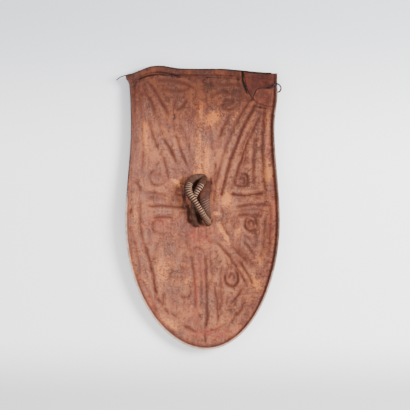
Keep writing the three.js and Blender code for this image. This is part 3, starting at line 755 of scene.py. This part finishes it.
# Height of the grip face at any place, as the patches and thongs find it.
def sheet_height(x, y):
    d = edge_distance(x, y).reshape(np.shape(x))
    top = top_y(x)
    q = np.clip((top - y) / (top - BELLY_Y), 0, 1)
    rims = border_relief(np.minimum(d, BORDER), q) + hem_relief(np.maximum(top - y, 0), x)
    return dish(x, y) + HIDE + rims


def patch(name, outline, seed, step=1.8):
    outline = rounded_outline(outline)
    (x0, y0), (x1, y1) = outline.min(0) - step, outline.max(0) + step
    y, x = np.meshgrid(np.arange(y1, y0, -step), np.arange(x0, x1, step), indexing="ij")
    x, y = x.copy(), y.copy()
    cells = np.ones((x.shape[0] - 1, x.shape[1] - 1), bool)
    cut(x, y, cells, outline, keep_inside=True)
    dense = rounded_outline(outline, 4)
    rim = kdtree.KDTree(len(dense))
    for i, (a, b) in enumerate(dense):
        rim.insert((a, b, 0), i)
    rim.balance()
    inward = np.array([rim.find((a, b, 0))[2] for a, b in zip(x.ravel(), y.ravel())]).reshape(x.shape)
    under = sheet_height(x, y) + PATCH_GAP
    wrinkle = rough(x, y, 16, seed) * 0.8 + rough(x, y, 5, seed + 3, 2) * 0.25
    top = under + 2.6 * smooth((inward + 1.2) / 3) + np.maximum(wrinkle * smooth(inward / 4), -1.0)
    marks = {"rim": (np.full_like(x, 9.0), inward)}
    return two_faced(name, x, y, under, np.maximum(top, under + 0.6), cells, marks)


patch_upper = patch("patch_upper_scrap", PATCH_UPPER, 21.0)
patch_lower = patch("patch_lower_scrap", PATCH_LOWER, 35.0)
for piece, node in ((patch_upper, "patch_upper"), (patch_lower, "patch_lower")):
    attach(piece, "root")
    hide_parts(node)

# %% [markdown]
# ## Thongs
# A thong passes through the seam of the patches, over the edge and back behind it, and a thin
# one lies along the top edge with a free end at the ear. They are narrow strands without
# winding, a little uneven as cut hide is.

# %% Thongs
def face_height(x, y):
    return float(dish(np.float64(x), np.float64(y))) + HIDE + PATCH_GAP + PATCH


def thong(name, places, radius=1.8):
    rounds = [(x, y, z, radius, radius) for x, y, z in places]
    return strand(name, rounds, pitch=13, rib=0.12, lean=0.3, sides=12, step=1.2)


tie_x, tie_y = 212, 380
tie_z = face_height(tie_x, tie_y)
corner_tie = thong("corner_tie_thong", [(tie_x + a, tie_y + b, tie_z + c) for a, b, c in [
    (0, 0, -14), (0, 0, 3), (4, 0, 8), (12, 2, 11), (20, 9, 13), (28, 10, 14), (36, 4, 10), (39, -4, 4),
    (35, -12, -4), (28, -14, -10)]], 2.5)
edge_places = [(-272, 403, 45), (-258, 412, 50)]
for x in range(-240, 221, 23):
    height = float(sheet_height(np.array([float(x)]), top_y(np.array([float(x)])) - 2)[0])
    edge_places.append((x, float(top_y(x)) - 0.5, height + (PATCH_GAP + PATCH if x > 110 else 0) + 2.4))
edge_thong = thong("edge_thong_cord", edge_places)
for piece, node in ((corner_tie, "corner_tie"), (edge_thong, "edge_thong")):
    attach(piece, "root")
    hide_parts(node)

# %% [markdown]
# ## Writing shaders as expressions
# A finish is a sum and a product of patterns. To write it so, a small class wraps a shader
# socket: its operators add Math or Vector Math nodes, `over` adds a Mix node, and `make` adds
# any other node from its type, its settings and the values of its sockets.

# %% The shader helper
class Wire:
    def __init__(self, tree, socket=None):
        self.tree, self.socket = tree, socket

    def make(self, kind, settings=None, inputs=None, out=0):
        node = self.tree.nodes.new(kind)
        for key, value in (settings or {}).items():
            setattr(node, key, value)
        for key, value in (inputs or {}).items():
            if isinstance(value, Wire):
                self.tree.links.new(value.socket, node.inputs[key])
            else:
                node.inputs[key].default_value = value
        return Wire(self.tree, node.outputs[out])

    def math(self, operation, a, b=0.0, clamped=False):
        if any(isinstance(v, Wire) and v.socket.type == "VECTOR" for v in (a, b)):
            return self.make("ShaderNodeVectorMath", {"operation": operation}, {0: a, 1: b})
        settings = {"operation": operation, "use_clamp": clamped}
        return self.make("ShaderNodeMath", settings, {0: a, 1: b})

    def __add__(self, other):
        return self.math("ADD", self, other)

    def __radd__(self, other):
        return self.math("ADD", other, self)

    def __sub__(self, other):
        return self.math("SUBTRACT", self, other)

    def __rsub__(self, other):
        return self.math("SUBTRACT", other, self)

    def __mul__(self, other):
        return self.math("MULTIPLY", self, other)

    def __rmul__(self, other):
        return self.math("MULTIPLY", other, self)

    def held(self):
        return self.math("ADD", self, 0.0, clamped=True)

    def ease(self, low, high):
        settings = {"interpolation_type": "SMOOTHSTEP"}
        return self.make("ShaderNodeMapRange", settings, {"Value": self, "From Min": low, "From Max": high})

    def over(self, under, cover, mode="MIX"):
        settings = {"data_type": "RGBA", "blend_type": mode}
        return self.make("ShaderNodeMix", settings, {0: self, 6: under, 7: cover}, out=2)


def colour(red, green, blue):
    def linear(v):
        v /= 255
        return v / 12.92 if v <= 0.04045 else ((v + 0.055) / 1.055) ** 2.4
    return (linear(red), linear(green), linear(blue), 1.0)


class Finish:
    def __init__(self, name):
        self.material = bpy.data.materials.new(name)
        self.material.use_nodes = True
        self.tree = self.material.node_tree
        self.shader = self.tree.nodes["Principled BSDF"]
        self.wire = Wire(self.tree)
        place = self.tree.nodes.new("ShaderNodeTexCoord").outputs["Object"]
        self.place = Wire(self.tree, place)

    def mark(self, name):
        return self.wire.make("ShaderNodeAttribute", {"attribute_name": name}, out="Fac")

    def grain(self, scale, detail=4.0, rough=0.55, stretch=None, twist=0.0, seed=0.0):
        at = self.place
        if stretch:
            at = self.wire.make("ShaderNodeMapping", {}, {"Vector": at, "Scale": stretch})
        if seed:
            at = at + (seed, seed * 0.7, seed * 1.3)
        return self.wire.make("ShaderNodeTexNoise", {}, {
            "Vector": at, "Scale": scale, "Detail": detail, "Roughness": rough, "Distortion": twist})

    def wear(self, base, rough, bumps, fixed=None):
        links = self.tree.links
        links.new(base.socket, self.shader.inputs["Base Color"])
        links.new(rough.socket, self.shader.inputs["Roughness"])
        normal = None
        for height, distance, strength in bumps:
            inputs = {"Height": height, "Distance": distance, "Strength": strength}
            if normal is not None:
                inputs["Normal"] = normal
            normal = self.wire.make("ShaderNodeBump", {}, inputs)
        links.new(normal.socket, self.shader.inputs["Normal"])
        for key, value in (fixed or {}).items():
            self.shader.inputs[key].default_value = value

    def put_on(self, *pieces):
        for piece in pieces:
            piece.data.materials.clear()
            piece.data.materials.append(self.material)

# %% [markdown]
# ## Finish of the hide
# Old rawhide is never one colour. Broad areas go from brown to pink-tan, grey films and ochre
# scuffs lie over them, the pressed lines hold dark dirt deepened by painted shade, and the cut edge
# shows pale fibre with painted shade on the rim. Painted shade also darkens the top, the gutters, the
# hem fold and the tear, and painted shadow lies around the grip and under the patches.
# Noise at several sizes gives the areas; the marks stored on the mesh say where lines and edges are.

# %% Hide finish
f = Finish("worn_rawhide")
broad = f.grain(5, 3, seed=2.0)
cloud = f.grain(17, 5, 0.6, twist=0.6, seed=5.0)
blot = f.grain(46, 6, 0.62, twist=0.7, seed=9.0)
speck = f.grain(150, 6, 0.68, seed=1.0)
fleck = f.grain(420, 4, 0.65, seed=4.0)
streak = f.grain(90, 5, 0.65, stretch=(1.0, 0.14, 1.0), seed=3.0)
hatch = f.grain(120, 4, 0.6, stretch=(0.2, 1.0, 1.0), seed=7.0)
names = ("pressed", "shade", "shoulder", "edge", "rim_fibre_and_shade", "gutter_shade", "under", "hem", "torn",
         "cool", "ochre", "red", "painted_shadow", "height", "sideways")
mark = {name: f.mark(name) for name in names}

# Ground colour, then areas, each broken up by noise.
ground = f.wire.make("ShaderNodeRGB")
ground.socket.default_value = colour(115, 66, 50)
base = (mark["sideways"] + 0.5 * (broad - 0.5)).ease(-0.7, 0.9).over(ground, colour(98, 52, 39))
base = cloud.ease(0.48, 0.62).over(base, colour(136, 79, 53))
base = (cloud.ease(0.5, 0.38) * 0.85).over(base, colour(95, 60, 53))
base = (blot.ease(0.5, 0.62) * 0.75).over(base, colour(85, 43, 34))
cool = (mark["cool"] * 0.9 + (blot - 0.5) * 1.5 + (streak - 0.5) * 0.6).ease(0.15, 0.75)
base = (cool * 0.85).over(base, colour(172, 190, 212), "MULTIPLY")
red = (mark["red"] + (streak - 0.5) * 1.6).ease(0.25, 0.9)
base = (red * 0.75).over(base, colour(125, 53, 39))
base = (streak.ease(0.53, 0.65) * 0.7).over(base, colour(123, 80, 64))
base = (streak.ease(0.47, 0.35) * 0.7).over(base, colour(78, 47, 40))
side = mark["sideways"].ease(0.5, 0.8)
base = (hatch.ease(0.52, 0.64) * side * 0.8).over(base, colour(119, 66, 51))
base = (hatch.ease(0.47, 0.36) * side * 0.8).over(base, colour(68, 33, 27))
ochre = (mark["ochre"] + (speck - 0.5) * 1.9 + (blot - 0.5) * 0.8).ease(0.28, 0.8)
base = (ochre * 0.85).over(base, colour(177, 102, 53))
rubbed = (mark["shoulder"] * speck.ease(0.4, 0.62) + speck.ease(0.55, 0.7) * 0.8).held()
base = (rubbed * 0.85).over(base, colour(135, 86, 62))
base = (speck.ease(0.46, 0.3) * 0.75).over(base, colour(68, 33, 24))
base = (fleck.ease(0.58, 0.68) * (mark["ochre"] * 1.2 + 0.35)).held().over(base, colour(202, 145, 102))
base = (fleck.ease(0.44, 0.34) * 0.5).over(base, colour(74, 39, 30))

# The top of the shield is darker: partly its own darkened patina, partly painted shade of the light falling
# off towards the top.
top_patina_and_shade = (mark["height"] + 0.12 * (cloud - 0.5)).ease(0.42, 0.9)
base = (top_patina_and_shade * 0.9).over(base, top_patina_and_shade.over(base, colour(150, 136, 134)), "MULTIPLY")

# Dirt with painted shade in the lines, painted shade in the gutters and below the hem fold,
# painted shadow around the grip, then the cut edge with painted shade on its rim.
# Painted shade spreading a little way out from the pressed lines.
soft = (mark["shade"] * (0.35 + 0.5 * blot)).held()
base = (soft * 0.8).over(base, colour(80, 42, 32))
# Dirt inside the pressed lines, deepened as painted shade of the grooves.
groove_dirt_and_shade = (mark["pressed"] * (0.45 + 1.1 * (blot + speck - 0.75))).held()
base = (groove_dirt_and_shade * 0.9).over(base, colour(55, 22, 16))
# Painted shade along the lower line of the hem fold.
base = ((mark["hem"].ease(6.0, 0.5) * (0.3 + 0.8 * blot)).held() * 0.4).over(base, colour(56, 25, 17))
# Painted shade in the groove inside the lip.
base = ((mark["gutter_shade"] * (0.5 + 0.8 * blot)).held() * 0.7).over(base, colour(52, 24, 20))
# Painted shadow around the grip and in its gaps, beside the tear, in the ear and under the patches.
painted_shadow = (mark["painted_shadow"] + (blot - 0.5) * 0.7).ease(0.25, 0.95)
base = (painted_shadow * 0.9).over(base, colour(35, 12, 8))
# Pale fibre on the cut edge, with painted shade where the rim turns from the light.
rim_fibre_shade_mix = (mark["rim_fibre_and_shade"] + (speck - 0.5) * 1.2).held()
rim_colour = rim_fibre_shade_mix.over(colour(58, 37, 34), colour(169, 139, 121))
base = (mark["edge"].ease(6.0, 4.0) * 0.95).over(base, rim_colour)
# The floor of the tear is painted near black as painted shadow.
base = (mark["torn"].ease(0.1, 0.6) * 0.92).over(base, colour(15, 5, 3))
base = (mark["under"] * 0.85).over(base, colour(68, 39, 27))
bumps = [(cloud * 0.4 + blot, 0.005, 0.45), (speck + 0.4 * streak, 0.0022, 0.6), (fleck, 0.0008, 0.5)]
f.wear(base, 0.66 + 0.25 * speck - 0.12 * mark["shoulder"], bumps, {"Specular IOR Level": 0.14})
f.put_on(hide)
print("hide finish has", len(f.tree.nodes), "nodes")

# %% [markdown]
# ## Finish of the patches, the grip and the thongs
# The patches are darker and redder scraps, with painted shade along their edges. The strips of the grip
# have been rubbed by hands, so each turn is paler on its crown, with a painted highlight on the side turned
# to the light, and dark in the gap beside it as painted shade. The thongs dried out grey.

# %% Smaller finishes
SHEEN = {"Specular IOR Level": 0.18}


def leather(name, main, dark, light, scale):
    finish = Finish(name)
    large = finish.grain(scale, 4, 0.6, twist=0.5, seed=6.0)
    small = finish.grain(scale * 6, 5, 0.65, seed=8.0)
    ground = finish.wire.make("ShaderNodeRGB")
    ground.socket.default_value = colour(*main)
    tone = large.ease(0.4, 0.6).over(ground, colour(*dark))
    tone = (small.ease(0.54, 0.7) * 0.7).over(tone, colour(*light))
    tone = (small.ease(0.46, 0.3) * 0.6).over(tone, colour(*[v * 0.7 for v in dark]))
    return finish, tone, large, small


def scrap(name, main, dark, light):
    finish, tone, large, small = leather(name, main, dark, light, 45)
    # Painted shade along the scrap's rounded edge.
    rim = finish.mark("rim").ease(3.4, 0.8)
    tone = (rim * 0.85).over(tone, colour(58, 32, 26))
    finish.wear(tone, 0.6 + 0.25 * small, [(large, 0.003, 0.5), (small, 0.0012, 0.6)], SHEEN)
    return finish


# The turns are pale where hands rubbed them, with a painted highlight on the side turned to the light, and
# brown in between as painted shade.
def wound_leather(name, main, dark, light, lit_worn_crown):
    finish, tone, large, small = leather(name, main, dark, light, 60)
    strip, facing, wound = finish.mark("strip"), finish.mark("facing"), finish.mark("wound")
    # Painted shade in the gaps between the turns.
    tone = (strip.ease(0.75, 0.25) * wound * 0.9).over(tone, colour(*[v * 0.55 for v in dark]))
    # Pale crowns from rubbing, with a painted highlight on the side turned to the light.
    rubbed = strip.ease(0.72, 0.98) * wound * facing.ease(-0.7, 0.7) * (0.55 + 0.9 * large)
    tone = rubbed.held().over(tone, colour(*lit_worn_crown))
    finish.wear(tone, 0.58 + 0.25 * small, [(large, 0.002, 0.4), (small, 0.001, 0.6)], SHEEN)
    return finish


upper_finish = scrap("dark_red_scrap", (68, 26, 15), (50, 18, 12), (85, 36, 24))
lower_finish = scrap("brown_scrap", (86, 41, 28), (66, 30, 22), (105, 56, 40))
loop_finish = wound_leather("wound_strips", (68, 43, 30), (49, 27, 18), (86, 57, 43), (148, 114, 90))
core_finish = wound_leather("core_worn_and_lit", (68, 36, 25), (49, 23, 16), (85, 50, 37), (104, 77, 64))
thong_finish, tone, large, small = leather("grey_thong", (46, 35, 31), (26, 19, 17), (74, 59, 51), 80)
thong_finish.wear(tone, 0.6 + 0.2 * small, [(large, 0.001, 0.4), (small, 0.0005, 0.5)], SHEEN)
upper_finish.put_on(patch_upper)
lower_finish.put_on(patch_lower)
loop_finish.put_on(loop_over, loop_under, strap, knobs[0], *laces[:3])
core_finish.put_on(core, *knobs[1:], *laces[3:])
thong_finish.put_on(corner_tie, edge_thong)

# %% [markdown]
# ## Floor, light and camera
# The shield lies on a pale floor, and the camera looks straight down on it. A large soft light
# stands up and to the right, so the pressed lines and the grip throw soft shadows to the left.

# %% Stage
floor_mesh = bpy.data.meshes.new("floor")
floor_mesh.from_pydata([(-9, -9, 0), (9, -9, 0), (9, 9, 0), (-9, 9, 0)], [], [(0, 1, 2, 3)])
floor = bpy.data.objects.new("floor", floor_mesh)
bpy.context.scene.collection.objects.link(floor)
floor_finish = Finish("pale_paper")
paper = floor_finish.wire.make("ShaderNodeRGB")
paper.socket.default_value = colour(250, 250, 252)
faint = floor_finish.grain(2, 2)
far_up = floor_finish.wire.make("ShaderNodeSeparateXYZ", {}, {"Vector": floor_finish.place}, out=1)
tone = (faint * 0.08).over(paper, colour(236, 236, 240))
# The paper is painted darker towards the top and the bottom, as painted shade of the light falling off
# there.
tone = far_up.ease(0.1, 0.68).over(tone, colour(194, 196, 201))
tone = far_up.ease(-0.4, -0.62).over(tone, colour(198, 197, 200))
floor_finish.wear(tone, 0.85 + 0.1 * faint, [(faint, 0.001, 0.05)])
floor_finish.put_on(floor)


def soft_light(name, place, target, size, power, tint=(1, 1, 1)):
    lamp = bpy.data.lights.new(name, "AREA")
    lamp.shape, lamp.size, lamp.energy, lamp.color = "DISK", size, power, tint
    holder = bpy.data.objects.new(name, lamp)
    holder.location = place
    holder.rotation_euler = (Vector(target) - Vector(place)).to_track_quat("-Z", "Y").to_euler()
    bpy.context.scene.collection.objects.link(holder)


soft_light("key", (1.9, 0.6, 2.5), (0, 0, 0), 1.4, 258)
soft_light("fill", (-1.8, 0.2, 2.8), (0, 0, 0), 2.4, 54)
soft_light("front", (0.2, -2.2, 2.6), (0, 0, 0), 2.2, 62)
world = bpy.data.worlds.new("studio")
world.use_nodes = True
world.node_tree.nodes["Background"].inputs["Color"].default_value = (0.95, 0.97, 1, 1)
world.node_tree.nodes["Background"].inputs["Strength"].default_value = 0.94
bpy.context.scene.world = world

camera = bpy.data.cameras.new("camera")
camera.lens, camera.sensor_width = 82.8, 36
eye = bpy.data.objects.new("camera", camera)
eye.location = (0.0195, 0.0067, 3.04)
bpy.context.scene.collection.objects.link(eye)
bpy.context.scene.camera = eye
print("view transform", bpy.context.scene.view_settings.view_transform)
